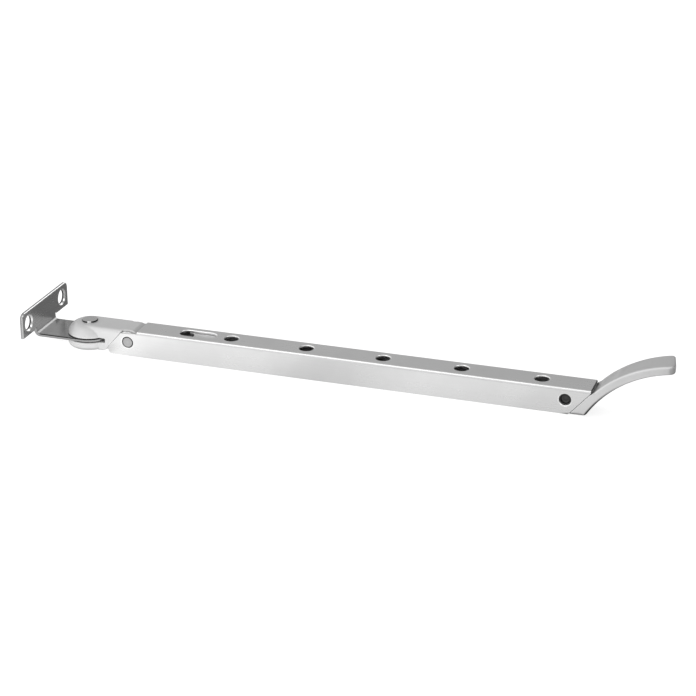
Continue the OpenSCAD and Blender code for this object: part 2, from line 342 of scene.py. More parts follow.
def break_edges(piece, width, segments, share_at=None):
    """Rounds the sharp edges of a solid and evens out its shading.

    share_at gives the share of the width for an edge with a given middle.
    """
    shape = bmesh.new()
    shape.from_mesh(piece.data)
    weights = shape.edges.layers.float.new("bevel_weight_edge")
    for edge in shape.edges:
        if edge.is_manifold and edge.calc_face_angle() > math.radians(SHARP_ANGLE):
            middle = (edge.verts[0].co + edge.verts[1].co) / 2 / MM
            edge[weights] = share_at(middle) if share_at else 1.0
    shape.to_mesh(piece.data)
    shape.free()
    bevel = piece.modifiers.new("broken edge", "BEVEL")
    bevel.width = width * MM
    bevel.segments = segments
    bevel.limit_method = "WEIGHT"
    bevel.use_clamp_overlap = False
    shading = piece.modifiers.new("even shading", "WEIGHTED_NORMAL")
    shading.weight = SHADING_WEIGHT
    shading.keep_sharp = True
    piece.data.shade_smooth()
    settle(piece)


def mark_faces(piece, name, share_of):
    """Gives each face a mark from 0 to 1, by its middle and its normal, for the finish to read."""
    mesh = piece.data
    marks = mesh.attributes.new(name, "FLOAT", "FACE")
    for face in mesh.polygons:
        marks.data[face.index].value = float(share_of(face.center / MM, face.normal))


def mark_skin(piece, name, share_of):
    """Gives each point of a smooth casting a mark that blends into its neighbours'."""
    mesh = piece.data
    marks = mesh.attributes.new(name, "FLOAT", "POINT")
    for point in mesh.vertices:
        marks.data[point.index].value = share_of(point.co / MM, point.normal)


def turned_piece(name, profile, place, axis):
    """Lathe-turned solid: profile rows are (radius, height) along an axis square to X through place."""
    shape = bmesh.new()
    across = Vector((1, 0, 0))
    up = Vector(axis)
    side = up.cross(across)
    rings = []
    for radius, height in profile:
        middle = Vector(place) + up * height
        if radius == 0:
            rings.append([shape.verts.new(middle * MM)])
            continue
        ring = []
        for step in range(ROUND_SIDES):
            turn = 2 * math.pi * step / ROUND_SIDES
            arm = across * math.cos(turn) + side * math.sin(turn)
            ring.append(shape.verts.new((middle + arm * radius) * MM))
        rings.append(ring)
    for low, high in zip(rings, rings[1:]):
        for step in range(ROUND_SIDES):
            after = (step + 1) % ROUND_SIDES
            corners = [low[step % len(low)], low[after % len(low)]]
            corners += [high[after % len(high)], high[step % len(high)]]
            shape.faces.new(list(dict.fromkeys(corners)))
    piece = piece_of(shape, name)
    piece.data.shade_smooth()
    return piece


def finish_piece(piece, material, node, body):
    """Gives a piece its material and its place in the moving part."""
    if material.name not in piece.data.materials:
        piece.data.materials.clear()
        piece.data.materials.append(material)
    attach(piece, body)
    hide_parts(node)


# Effects that the finishes share

# Width of the soft edge of a dark seam, in millimetres
SEAM_BLUR = 0.08


def make_drawn_grain():
    """Fine lines along X, as drawing or rolling leaves them."""
    tree, take, give = new_tree(
        "drawn grain", "ShaderNodeTree",
        [("Place", "NodeSocketVector", None), ("Along", "NodeSocketFloat", 40.0),
         ("Across", "NodeSocketFloat", 2200.0)],
        [("Shade", "NodeSocketFloat"), ("Height", "NodeSocketFloat")],
    )
    stretch = point_of(tree, take["Along"], take["Across"], take["Across"])
    drawn = add(tree, "ShaderNodeVectorMath", {0: take["Place"], 1: stretch}, operation="MULTIPLY")
    lines = noise(tree, drawn.outputs[0], scale=1.0, detail=3.0, roughness=0.6)
    wide = noise(tree, drawn.outputs[0], scale=0.21, detail=2.0)
    both = weighted(tree, lines, wide, share=0.6)
    put(tree, give["Shade"], spread(tree, both, start=0.32, end=0.68))
    put(tree, give["Height"], both)
    return tree


def make_cast_skin():
    """Slight waves and pits of a plated casting."""
    tree, take, give = new_tree(
        "cast skin", "ShaderNodeTree",
        [("Place", "NodeSocketVector", None), ("Grain", "NodeSocketFloat", 900.0)],
        [("Shade", "NodeSocketFloat"), ("Height", "NodeSocketFloat")],
    )
    wave_scale = product_of(tree, take["Grain"], 0.16)
    peel = noise(tree, take["Place"], scale=take["Grain"], detail=2.0)
    wave = noise(tree, take["Place"], scale=wave_scale, detail=2.0)
    both = weighted(tree, peel, wave, share=0.35)
    put(tree, give["Shade"], spread(tree, both, start=0.34, end=0.66))
    put(tree, give["Height"], both)
    return tree


def make_turned_marks():
    """Fine rings round the Z axis of the given place, and a mask for the dark seam at the rim."""
    tree, take, give = new_tree(
        "turned marks", "ShaderNodeTree",
        [("Place", "NodeSocketVector", None), ("Rings", "NodeSocketFloat", 2600.0),
         ("Seam Start", "NodeSocketFloat", 1.0)],
        [("Shade", "NodeSocketFloat"), ("Height", "NodeSocketFloat"), ("Seam", "NodeSocketFloat")],
    )
    flat = add(tree, "ShaderNodeVectorMath", {0: take["Place"], 1: (1.0, 1.0, 0.0)}, operation="MULTIPLY")
    reach = add(tree, "ShaderNodeVectorMath", {0: flat.outputs[0]}, operation="LENGTH").outputs["Value"]
    rings = add(tree, "ShaderNodeTexNoise",
                {"W": product_of(tree, reach, take["Rings"]), "Scale": 1.0, "Detail": 2.0},
                noise_dimensions="1D")
    past_start = add(tree, "ShaderNodeMath", {0: reach, 1: take["Seam Start"]}, operation="SUBTRACT")
    put(tree, give["Shade"], spread(tree, rings.outputs[0], start=0.3, end=0.7))
    put(tree, give["Height"], rings.outputs[0])
    put(tree, give["Seam"], spread(tree, past_start.outputs[0], start=0.0, end=SEAM_BLUR * MM))
    return tree


def make_handling_film():
    """Soft patches where hands and dust have dulled the finish."""
    tree, take, give = new_tree(
        "handling film", "ShaderNodeTree",
        [("Place", "NodeSocketVector", None), ("Patch", "NodeSocketFloat", 70.0)],
        [("Film", "NodeSocketFloat")],
    )
    patch = noise(tree, take["Place"], scale=take["Patch"], detail=4.0, roughness=0.55, distortion=0.4)
    put(tree, give["Film"], spread(tree, patch, start=0.42, end=0.68))
    return tree


def make_edge_wear():
    """Mask along the edges, broken up as rubbing leaves it."""
    tree, take, give = new_tree(
        "edge wear", "ShaderNodeTree",
        [("Place", "NodeSocketVector", None), ("Width", "NodeSocketFloat", 0.0006),
         ("Break", "NodeSocketFloat", 500.0)],
        [("Worn", "NodeSocketFloat")],
    )
    bent = add(tree, "ShaderNodeBevel", {"Radius": take["Width"]}, samples=4)
    flat = add(tree, "ShaderNodeNewGeometry")
    agree = add(tree, "ShaderNodeVectorMath", {0: bent.outputs[0], 1: flat.outputs["Normal"]},
                operation="DOT_PRODUCT").outputs["Value"]
    edge = spread(tree, agree, start=0.995, end=0.86)
    chips = noise(tree, take["Place"], scale=take["Break"], detail=3.0)
    kept = spread(tree, chips, start=0.3, end=0.6, low=0.7)
    put(tree, give["Worn"], product_of(tree, edge, kept))
    return tree


DRAWN_GRAIN = make_drawn_grain()
CAST_SKIN = make_cast_skin()
TURNED_MARKS = make_turned_marks()
HANDLING_FILM = make_handling_film()
EDGE_WEAR = make_edge_wear()


# Finishes

FILM_WEIGHT = 0.25  # of the handling film on the tone
FILM_TONE = 0.9  # of the film, as a share of the finish's low tone
ROUGH_BY_PATTERN = 0.55  # share of the pattern in the roughness; the film has the rest
RELIEF_DEPTH = 0.05  # millimetres
COAT_ROUGHNESS = 0.08


def grey(level):
    """Colour of a grey level."""
    return (level, level, level, 1.0)


def use_group(tree, group, **fields):
    """Adds a shared effect, fills its inputs and gives its outputs."""
    made = tree.nodes.new("ShaderNodeGroup")
    made.node_tree = group
    for name, value in fields.items():
        put(tree, made.inputs[name], value)
    return made.outputs


def tint(tree, factor, low, high):
    """Colour between two greys, or between a colour and a grey."""
    mix = tree.nodes.new("ShaderNodeMix")
    mix.data_type = "RGBA"
    put(tree, mix.inputs[0], factor)
    put(tree, mix.inputs[6], low if isinstance(low, bpy.types.NodeSocket) else grey(low))
    put(tree, mix.inputs[7], grey(high))
    return mix.outputs[2]


def metal_finish(name, texture, tones, worn, rough, bump, metallic=1.0, coat=0.0, wear_width=0.5,
                 turn=None, seam_tone=0.03, marked=(), **texture_fields):
    """Metal with a surface texture, a film of handling and worn edges.

    tones and rough are (low, high); turn is the centre and turn of the texture. A turned piece's seam
    takes seam_tone, and faces with a mark take the tone that marked gives it, as painted shade and
    highlights.
    """
    made = bpy.data.materials.new(name)
    made.use_nodes = True
    tree = made.node_tree
    shader = tree.nodes["Principled BSDF"]
    place = tree.nodes.new("ShaderNodeTexCoord").outputs["Object"]
    pattern_place = place
    if turn:
        centre, angle = turn
        fields = {"Vector": place, "Location": Vector(centre) * MM, "Rotation": angle}
        pattern_place = add(tree, "ShaderNodeMapping", fields, vector_type="TEXTURE").outputs[0]
    pattern = use_group(tree, texture, Place=pattern_place, **texture_fields)
    film = use_group(tree, HANDLING_FILM, Place=place)
    wear = use_group(tree, EDGE_WEAR, Place=place, Width=wear_width * MM)
    base = tint(tree, pattern["Shade"], tones[0], tones[1])
    dulled = tint(tree, product_of(tree, film["Film"], FILM_WEIGHT), base, tones[0] * FILM_TONE)
    wear_and_painted_light = tint(tree, wear["Worn"], dulled, worn)
    if "Seam" in pattern:
        wear_and_painted_light = tint(tree, pattern["Seam"], wear_and_painted_light, seam_tone)
    # Marks paint shade and highlights onto the colour
    for mark, tone in marked:
        mask = add(tree, "ShaderNodeAttribute", attribute_name=mark).outputs["Fac"]
        wear_and_painted_light = tint(tree, mask, wear_and_painted_light, tone)
    put(tree, shader.inputs["Base Color"], wear_and_painted_light)
    uneven = weighted(tree, pattern["Shade"], film["Film"], ROUGH_BY_PATTERN)
    put(tree, shader.inputs["Roughness"], spread(tree, uneven, 0.0, 1.0, rough[0], rough[1]))
    relief = add(tree, "ShaderNodeBump",
                 {"Strength": bump, "Distance": RELIEF_DEPTH * MM, "Height": pattern["Height"]})
    put(tree, shader.inputs["Normal"], relief.outputs[0])
    shader.inputs["Metallic"].default_value = metallic
    shader.inputs["Coat Weight"].default_value = coat
    shader.inputs["Coat Roughness"].default_value = COAT_ROUGHNESS
    return made


# The bar's mark named cut paints its end dark as shade; its mark named rim paints the hole rims bright as a
# highlight
BAR_FINISH = metal_finish("satin_silver_bar", DRAWN_GRAIN, (0.765, 0.795), 0.97, (0.26, 0.34), 0.06,
                          metallic=0.95, coat=0.15, marked=(("cut", 0.05), ("rim", 1.0)), Across=4200.0)
# The castings' mark named underside is painted shade, on the knuckle's foot and the tail's heel
CAST_FINISH = metal_finish("satin_silver_casting", CAST_SKIN, (0.775, 0.81), 0.90, (0.40, 0.50), 0.10,
                           metallic=0.25, coat=0.4, marked=(("underside", 0.5),))
TAIL_FINISH = metal_finish("satin_silver_tail", CAST_SKIN, (0.745, 0.78), 0.86, (0.36, 0.45), 0.10,
                           metallic=0.85, coat=0.4, marked=(("underside", 0.06),))
# The sheet's mark named cut is painted shade; its mark named rim is a painted highlight
SHEET_FINISH = metal_finish("dark_rolled_sheet", DRAWN_GRAIN, (0.33, 0.38), 0.72, (0.22, 0.30), 0.03,
                            metallic=0.9, wear_width=0.3, turn=((0, 0, 0), (0, 0, math.pi / 2)),
                            marked=(("cut", 0.03), ("rim", 0.8)), Along=160.0, Across=1500.0)
# The rivet's marked spot is a painted glint
RIVET_FINISH = metal_finish("turned_rivet_steel", TURNED_MARKS, (0.63, 0.70), 0.75, (0.26, 0.36), 0.12,
                            coat=0.25, turn=((SWIVEL_X, 0, 0), (0, 0, 0)), marked=(("wear_and_painted_light", 0.95),),
                            **{"Seam Start": RIVET_SEAM * MM})
LIFT_PIN_FINISH = metal_finish("dull_pin_end", TURNED_MARKS, (0.40, 0.47), 0.56, (0.36, 0.48), 0.2,
                               turn=((LIFT_PIN[0], 0, LIFT_PIN[1]), (math.pi / 2, 0, 0)),
                               **{"Seam Start": LIFT_PIN_SEAM * MM})
TAIL_PIN_FINISH = metal_finish("dark_pin_end", TURNED_MARKS, (0.05, 0.09), 0.22, (0.38, 0.5), 0.2,
                               turn=((TAIL_PIN[0], 0, TAIL_PIN[1]), (math.pi / 2, 0, 0)),
                               **{"Seam Start": TAIL_PIN_SEAM * MM})
INSERT_FINISH = metal_finish("pale_insert", CAST_SKIN, (0.74, 0.78), 0.85, (0.30, 0.40), 0.10, metallic=0.9)


# The hollow bar, punched by a node tree

def arc(centre, radius, start, end, steps):
    """Points of an arc, from one angle to another in degrees."""
    points = []
    for step in range(steps + 1):
        turn = math.radians(start + (end - start) * step / steps)
        points.append((centre[0] + radius * math.cos(turn), centre[1] + radius * math.sin(turn)))
    return points


def bar_side_blank():
    """Solid with the bar's side view: ears on the left, square top wall and mitre on the right."""
    top = BAR_MIDDLE_Z + BAR_HEIGHT / 2
    bottom = BAR_MIDDLE_Z - BAR_HEIGHT / 2
    inner_top = top - BAR_WALL
    over = top + BLANK_SPARE
    under = bottom - BLANK_SPARE
    slope = math.radians(EAR_SLOPE)
    lift = Vector((LIFT_PIN[0], LIFT_PIN[1]))
    outward = Vector((-math.sin(slope), math.cos(slope)))
    along = Vector((math.cos(slope), math.sin(slope)))
    corner = lift + (EAR_REACH - EAR_CORNER) * outward
    corner += along * ((bottom + EAR_CORNER - TOUCH - corner[1]) / along[1])
    rise = math.degrees(math.asin(EAR_RISE / EAR_TOP))
    outline = arc(lift, EAR_TOP, rise, 90, EAR_TOP_STEPS)
    for share in (0.2, 0.4, 0.6, 0.8):
        reach = EAR_TOP + (EAR_REACH - EAR_TOP) * share
        turn = math.radians(90 + EAR_SLOPE * share)
        outline.append((lift[0] + reach * math.cos(turn), lift[1] + reach * math.sin(turn)))
    outline += arc(corner, EAR_CORNER, 90 + EAR_SLOPE, 270, EAR_CORNER_STEPS)
    outline += [(corner[0], under), (mitre_x(under), under), (BAR_END, inner_top)]
    outline += [(BAR_END, over), (TOP_START, over), (TOP_START, lift[1] + EAR_RISE)]
    shape = bmesh.new()
    front = [shape.verts.new((x * MM, -BAR_WIDTH * MM, z * MM)) for x, z in outline]
    back = [shape.verts.new((x * MM, BAR_WIDTH * MM, z * MM)) for x, z in outline]
    shape.faces.new(front)
    shape.faces.new(back[::-1])
    count = len(outline)
    for step in range(count):
        after = (step + 1) % count
        shape.faces.new([front[step], back[step], back[after], front[after]])
    blank = piece_of(shape, "bar side")
    blank.name = "bar"
    return blank


def make_punched_bar():
    """Tube with a row of peg holes, a closing slot and two cross holes, trimmed to the side blank."""
    lengths = ("Width", "Height", "Wall", "Edge Radius", "Middle Height", "Top Start", "Far End",
               "Hole Diameter", "First Hole", "Hole Pitch", "Slot Start", "Slot Length", "Pin Diameter")
    others = [("Side Blank", "NodeSocketGeometry", None), ("Hole Count", "NodeSocketInt", None),
              ("Lift Pin", "NodeSocketVector", None), ("Tail Pin", "NodeSocketVector", None),
              ("Finish", "NodeSocketMaterial", None)]
    tree, take, give = new_tree(
        "punched bar", "GeometryNodeTree",
        others + [(name, "NodeSocketFloat", None) for name in lengths],
        [("Bar", "NodeSocketGeometry")],
    )

    def rail(width, height, radius, start, end, count):
        """Bar of rounded section from start to end, with count points on each rounded edge."""
        section = add(tree, "GeometryNodeCurvePrimitiveQuadrilateral", {"Width": width, "Height": height})
        rounded = add(tree, "GeometryNodeFilletCurve",
                      {"Curve": section.outputs[0], "Count": count, "Radius": radius, "Limit Radius": True},
                      mode="POLY")
        path = add(tree, "GeometryNodeCurvePrimitiveLine", {"Start": start, "End": end})
        swept = add(tree, "GeometryNodeCurveToMesh",
                    {"Curve": path.outputs[0], "Profile Curve": rounded.outputs[0], "Fill Caps": True})
        return swept.outputs[0]

    def drill(points, diameter, turn):
        """Round cutters on points."""
        drill_bit = add(tree, "GeometryNodeMeshCylinder",
                        {"Vertices": DRILL_SIDES, "Radius": product_of(tree, diameter, 0.5),
                         "Depth": product_of(tree, take["Width"], 2.0)})
        placed = add(tree, "GeometryNodeInstanceOnPoints",
                     {"Points": points.outputs[0], "Instance": drill_bit.outputs[0], "Rotation": turn})
        return add(tree, "GeometryNodeRealizeInstances", {"Geometry": placed.outputs[0]}).outputs[0]

    middle = take["Middle Height"]
    two_walls = product_of(tree, take["Wall"], -2.0)
    outer = rail(take["Width"], take["Height"], take["Edge Radius"],
                 point_of(tree, 0.0, 0.0, middle), point_of(tree, take["Far End"], 0.0, middle),
                 OUTER_STEPS)
    inner = rail(sum_of(tree, take["Width"], two_walls), sum_of(tree, take["Height"], two_walls),
                 sum_of(tree, take["Edge Radius"], product_of(tree, take["Wall"], -1.0)),
                 point_of(tree, BORE[0] * MM, 0.0, middle), point_of(tree, BORE[1] * MM, 0.0, middle),
                 INNER_STEPS)
    first_hole = point_of(tree, take["First Hole"], 0.0, middle)
    holes = add(tree, "GeometryNodeMeshLine",
                {"Count": take["Hole Count"], "Start Location": first_hole,
                 "Offset": point_of(tree, take["Hole Pitch"], 0.0, 0.0)})
    apart = add(tree, "ShaderNodeVectorMath", {0: take["Tail Pin"], 1: take["Lift Pin"]},
                operation="SUBTRACT")
    pins = add(tree, "GeometryNodeMeshLine",
               {"Count": 2, "Start Location": take["Lift Pin"], "Offset": apart.outputs[0]})
    slot_x = sum_of(tree, take["Slot Start"], product_of(tree, take["Slot Length"], 0.5))
    over = sum_of(tree, middle, take["Height"])
    under = sum_of(tree, middle, product_of(tree, take["Height"], -1.0))
    slot_radius = product_of(tree, take["Hole Diameter"], SLOT_ROUND)
    slot = rail(take["Slot Length"], take["Hole Diameter"], slot_radius,
                point_of(tree, slot_x, 0.0, over), point_of(tree, slot_x, 0.0, under), SLOT_STEPS)
    open_size = point_of(tree, product_of(tree, take["Top Start"], 2.0),
                         sum_of(tree, take["Width"], two_walls), take["Height"])
    open_box = add(tree, "GeometryNodeMeshCube", {"Size": open_size})
    under_edge = sum_of(tree, take["Height"], product_of(tree, take["Edge Radius"], -OPEN_TOP_DROP))
    open_middle = point_of(tree, 0.0, 0.0, sum_of(tree, middle, under_edge))
    open_top = add(tree, "GeometryNodeTransform",
                   {"Geometry": open_box.outputs[0], "Translation": open_middle})
    hollow = add(tree, "GeometryNodeMeshBoolean", {"Mesh 1": outer, "Mesh 2": inner},
                 operation="DIFFERENCE", solver="EXACT")
    trimmed = add(tree, "GeometryNodeMeshBoolean", {"Mesh 2": hollow.outputs[0]},
                  operation="INTERSECT", solver="EXACT")
    put(tree, trimmed.inputs["Mesh 2"], take["Side Blank"])
    punched = add(tree, "GeometryNodeMeshBoolean", {"Mesh 1": trimmed.outputs[0]},
                  operation="DIFFERENCE", solver="EXACT")
    for cutter in (drill(holes, take["Hole Diameter"], (0.0, 0.0, 0.0)),
                   drill(pins, take["Pin Diameter"], (math.pi / 2, 0.0, 0.0)), slot, open_top.outputs[0]):
        put(tree, punched.inputs["Mesh 2"], cutter)
    whole = add(tree, "GeometryNodeRealizeInstances", {"Geometry": punched.outputs[0]})
    finished = add(tree, "GeometryNodeSetMaterial",
                   {"Geometry": whole.outputs[0], "Material": take["Finish"]})
    put(tree, give["Bar"], finished.outputs[0])
    return tree


def shape_by(piece, tree, values):
    """Runs a node tree on a piece with the named values and keeps the plain mesh."""
    modifier = piece.modifiers.new(tree.name, "NODES")
    modifier.node_group = tree
    for item in tree.interface.items_tree:
        if item.in_out == "INPUT" and item.name in values:
            modifier[item.identifier] = values[item.name]
    settle(piece)


bar_values = {
    "Width": BAR_WIDTH, "Height": BAR_HEIGHT, "Wall": BAR_WALL, "Edge Radius": BAR_EDGE,
    "Middle Height": BAR_MIDDLE_Z, "Top Start": TOP_START, "Far End": BAR_END + TUBE_SPARE,
    "Hole Diameter": HOLE_DIAMETER, "First Hole": FIRST_HOLE, "Hole Pitch": HOLE_PITCH,
    "Slot Start": SLOT_START, "Slot Length": SLOT_LENGTH, "Pin Diameter": PIN_DIAMETER,
}
bar_values = {name: length * MM for name, length in bar_values.items()}
bar_values["Hole Count"] = HOLE_COUNT
bar_values["Lift Pin"] = (LIFT_PIN[0] * MM, 0.0, LIFT_PIN[1] * MM)
bar_values["Tail Pin"] = (TAIL_PIN[0] * MM, 0.0, TAIL_PIN[1] * MM)
bar_values["Finish"] = BAR_FINISH
bar = bar_side_blank()
shape_by(bar, make_punched_bar(), bar_values)


def pin_reach(point):
    """Distance from the axis of the nearer cross pin."""
    return min(math.dist((point.x, point.z), LIFT_PIN), math.dist((point.x, point.z), TAIL_PIN))


def in_hole_row(point, margin):
    """True within the row of peg holes and the slot, widened by a margin."""
    in_length = between(point.x, (TOP_START + NO_HOLES, BAR_END - NO_HOLES))
    return in_length and abs(point.y) < HOLE_DIAMETER / 2 + margin


def on_bar_rim(point):
    """True on the rims of the peg holes and the slot, and of the pin holes in the bar's sides."""
    if abs(abs(point.y) - BAR_WIDTH / 2) < TOUCH:
        return abs(pin_reach(point) - PIN_DIAMETER / 2) < PIN_RIM_NEAR
    on_top = abs(point.z - BAR_MIDDLE_Z - BAR_HEIGHT / 2) < TOUCH
    return on_top and in_hole_row(point, TOUCH)


def bar_edge_share(point):
    """Share of the rim's rounding: whole on rims, least along the two seams."""
    if on_bar_rim(point):
        return 1.0
    on_ear_seam = point.x < LIFT_PIN[0] - EAR_CORNER
    on_mitre = abs(point.x - mitre_x(point.z)) < MITRE_NEAR
    return SEAM_SHARE if on_ear_seam or on_mitre else PLAIN_EDGE_SHARE


def is_bar_end(centre, normal):
    """True on the square end of the bar's top wall, which is painted dark as shade."""
    return normal.x > CUT_END_TURN and centre.x > BAR_END - CUT_END_DEPTH


def is_rim_face(centre, normal):
    """True on the rounded rims of the holes, which are painted bright as a highlight."""
    if abs(centre.y) > BAR_WIDTH / 2 - RIM_WIDTH and pin_reach(centre) < PIN_DIAMETER / 2 + RIM_WIDTH:
        return between(abs(normal.y), RIM_TURN)
    near_top = centre.z > BAR_MIDDLE_Z + BAR_HEIGHT / 2 - RIM_WIDTH
    return near_top and in_hole_row(centre, RIM_WIDTH) and between(normal.z, RIM_TURN)


break_edges(bar, RIM_WIDTH, RIM_STEPS, bar_edge_share)
# Paints the end of the top wall dark as shade
mark_faces(bar, "cut", is_bar_end)
# Paints the rims of the holes bright as a highlight
mark_faces(bar, "rim", is_rim_face)
finish_piece(bar, BAR_FINISH, "stay_bar", "bar")


# The cast pieces

def head_foot_shade(centre, normal):
    """How far the knuckle's skin turns to the foot of its round head, which is painted darker as shade."""
    return share_between(-normal.z, *HEAD_FOOT_TURN) * share_between(centre.x, *HEAD_FOOT)


def heel_shade(centre, normal):
    """How far the tail's skin turns to the heel's underside, which is painted dark as shade."""
    if normal.z >= HEEL_DOWN:
        return 0.0
    return share_between(normal.x, *HEEL_TURN) * share_between(centre.x, *HEEL)


fork = copy_of_solid("knuckle", "fork_knuckle")
soften_casting(fork)
# Paints shade on the foot of the knuckle's head
mark_skin(fork, "underside", head_foot_shade)
finish_piece(fork, CAST_FINISH, "knuckle", "knuckle")

tail = copy_of_solid("tail_handle", "tail")
soften_casting(tail)
soften_past_mitre(tail)
# Paints shade on the tail's heel
mark_skin(tail, "underside", heel_shade)
finish_piece(tail, TAIL_FINISH, "tail_handle", "bar")


# The folded sheet

def screw_reach(point):
    """Distance from the axis of the nearer screw hole."""
    return math.hypot(abs(point.y) - SCREW_SPACING / 2, point.z)


def in_screw_hole(centre, normal):
    """True on the walls of the two screw holes."""
    near = screw_reach(centre) < SCREW_DIAMETER / 2 + SCREW_WALL_NEAR
    return near and abs(normal.x) < SCREW_WALL_TURN


def is_dark_edge(centre, normal):
    """True on the screw holes' walls and along the broken top edge of the tongue, which are painted dark as
    shade.
    """
    along_top = abs(centre.z - TONGUE_TOP) < TONGUE_RIM_DEPTH and centre.x > TONGUE_START
    on_tongue = along_top and between(normal.z, BROKEN_TURN)
    return on_tongue or in_screw_hole(centre, normal)


def folded_edge_share(point):
    """Share of the sheet's rounding: least in the screw holes, less along the tongue."""
    if screw_reach(point) < SCREW_DIAMETER / 2 + SCREW_BEVEL:
        return SCREW_EDGE_SHARE
    return 1.0 if point.z > PLATE_FOOT else TONGUE_EDGE_SHARE


def plate_rim_share(centre, normal):
    """How bright a face is painted as a highlight: whole in the screw holes' bevels, and on the plate's top
    front rim.
    """
    on_front = between(centre.x, PLATE_RIM) and centre.z > PLATE_FOOT
    if not (on_front and between(normal.x, BROKEN_TURN)):
        return 0.0
    if screw_reach(centre) < SCREW_DIAMETER / 2 + SCREW_BEVEL:
        return 1.0
    return share_between(normal.z, *PLATE_RIM_TURN)


folded = copy_of_solid("bracket", "folded_bracket")
break_edges(folded, SHEET_EDGE, SHEET_EDGE_STEPS, folded_edge_share)
# Paints the screw holes' walls and the tongue's top edge dark as shade
mark_faces(folded, "cut", is_dark_edge)
# Paints a highlight on the plate's top front rim and the screw holes' bevels
mark_faces(folded, "rim", plate_rim_share)
finish_piece(folded, SHEET_FINISH, "bracket", "bracket")


# Rivet, pins and insert

def rivet_end(end):
    """Profile rows of the rivet's head from side to middle, with a rounded rim and a slight dome."""
    flat = RIVET_HEAD - RIVET_EDGE
    rows = []
    for step in range(RIVET_EDGE_STEPS + 1):
        turn = math.pi / 2 * step / RIVET_EDGE_STEPS
        depth = RIVET_DOME + RIVET_EDGE * (1 - math.sin(turn))
        rows.append((flat + RIVET_EDGE * math.cos(turn), end - depth))
    for share in (0.75, 0.5, 0.25, 0.0):
        rows.append((flat * share, end - RIVET_DOME * share * share))
    return rows


def is_painted_glint(centre, normal):
    """True on the short spot of the rivet's rim that faces the front, painted bright as a glint."""
    across = math.hypot(normal.x, normal.y)
    toward = GLINT_WAY[0] * normal.x + GLINT_WAY[1] * normal.y
    return across > GLINT_SLANT and toward > GLINT_TURN * across


def cross_pin(name, place, end, rows):
    """Cross pin with two like ends at a distance from the middle, from the profile rows of an end."""
    near = [(radius, end - depth) for radius, depth in rows]
    far = [(radius, -height) for radius, height in near[::-1]]
    return turned_piece(name, far + near, (place[0], 0, place[1]), (0, 1, 0))


rivet_low, rivet_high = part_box("swivel_rivet")
rivet_middle = (rivet_low.z + rivet_high.z) / 2 / MM
rivet_reach = (rivet_high.z - rivet_low.z) / 2 / MM
head_under = rivet_reach - RIVET_HEAD_HEIGHT
upper = [(RIVET_SHANK, 0.0), (RIVET_SHANK, head_under), (RIVET_HEAD - RIVET_BREAK, head_under),
         (RIVET_HEAD, head_under + RIVET_BREAK)]
upper += rivet_end(rivet_reach)
lower = [(radius, -height) for radius, height in upper[:0:-1]]
rivet = turned_piece("rivet", lower + upper, (SWIVEL_X, 0, rivet_middle), (0, 0, 1))
# Paints a glint on the front of the rivet's rim
mark_faces(rivet, "wear_and_painted_light", is_painted_glint)
finish_piece(rivet, RIVET_FINISH, "swivel_rivet", "knuckle")

lift = cross_pin("lift_pin_turned", LIFT_PIN, BAR_WIDTH / 2, GROOVED_END)
finish_piece(lift, LIFT_PIN_FINISH, "lift_pin", "bar")

tail_cross = cross_pin("tail_pin_turned", TAIL_PIN, BAR_WIDTH / 2 - TAIL_PIN_RECESS, HOLLOW_END)
finish_piece(tail_cross, TAIL_PIN_FINISH, "tail_pin", "bar")

insert = copy_of_solid("slot_insert", "slot_block")
break_edges(insert, INSERT_EDGE, INSERT_EDGE_STEPS)
finish_piece(insert, INSERT_FINISH, "slot_insert", "bar")


# Floor, light and camera

# The floor: tones, glow, reach in metres and drop under the part
FLOOR_TONES = (0.48, 0.52)
FLOOR_ROUGHNESS = 0.9
FLOOR_SHINE = 0.1
FLOOR_GLOW = 0.84
FLOOR_REACH = 4.0
FLOOR_DROP = 0.05

# The mirror card: corners in metres, rows of (X, tone), soft steps of (start, end, before, after)
CARD_CORNERS = ((-0.6, -0.6), (0.9, 0.6))
CARD_DROP = 0.01
CARD_FRONT = ((0, 1.10), (40, 1.30), (62, 1.06), (105, 1.015), (145, 0.80), (195, 0.985), (233, 0.92),
              (255, 0.83), (300, 0.81), (332, 0.3))
# Some of the steps below darken the card as painted shadow: toward and under the bar, by the head and under
# the heel
CARD_TOWARD_BAR = (-40, -8, 1.03, 0.88)
CARD_FAR_OUT = (-64, -42, 0.78, 1.0)
CARD_BY_HEAD = (34, 42, 0.66, 1.0)
CARD_HEAD_START = -30
CARD_HEAD_END = -14
CARD_UNDER = (30, 60, 0.5, 0.1)
CARD_BEHIND = (30, 200, 0.27, 0.37)
CARD_TAIL_SHIFT = (262, 270, 0.0, 3.0 * MM)
CARD_FRONT_TO_UNDER = (-7.5, -4.5, 0.0, 1.0)
CARD_UNDER_TO_BEHIND = (16, 30, 0.0, 1.0)

# The room: rows of (X of the direction, tone), the horizon's tone and height, the turn from front to behind
ROOM_BEHIND = ((-1.0, 1.05), (-0.8, 0.95), (-0.6, 0.62), (-0.42, 0.47),
               (-0.3, 0.505), (0.0, 0.39), (0.4, 0.26), (1.0, 0.20))
ROOM_FRONT = ((-1.0, 1.0), (0.0, 0.86), (0.4, 0.75), (1.0, 0.35))
ROOM_HORIZON = 0.4
ROOM_HORIZON_TOP = 0.2
ROOM_TURN = 0.25

# The photograph's view: angles in degrees, target and distance in millimetres, focal length in its pixels
CAMERA_AZIMUTH = 18.358
CAMERA_ELEVATION = 22.637
CAMERA_TARGET = (159.365, 0.0, 0.112)
CAMERA_DISTANCE = 969.576
FOCAL_PIXELS = 2050
PHOTO_PIXELS = 696
SENSOR = 36.0
CLIP = (0.05, 30.0)


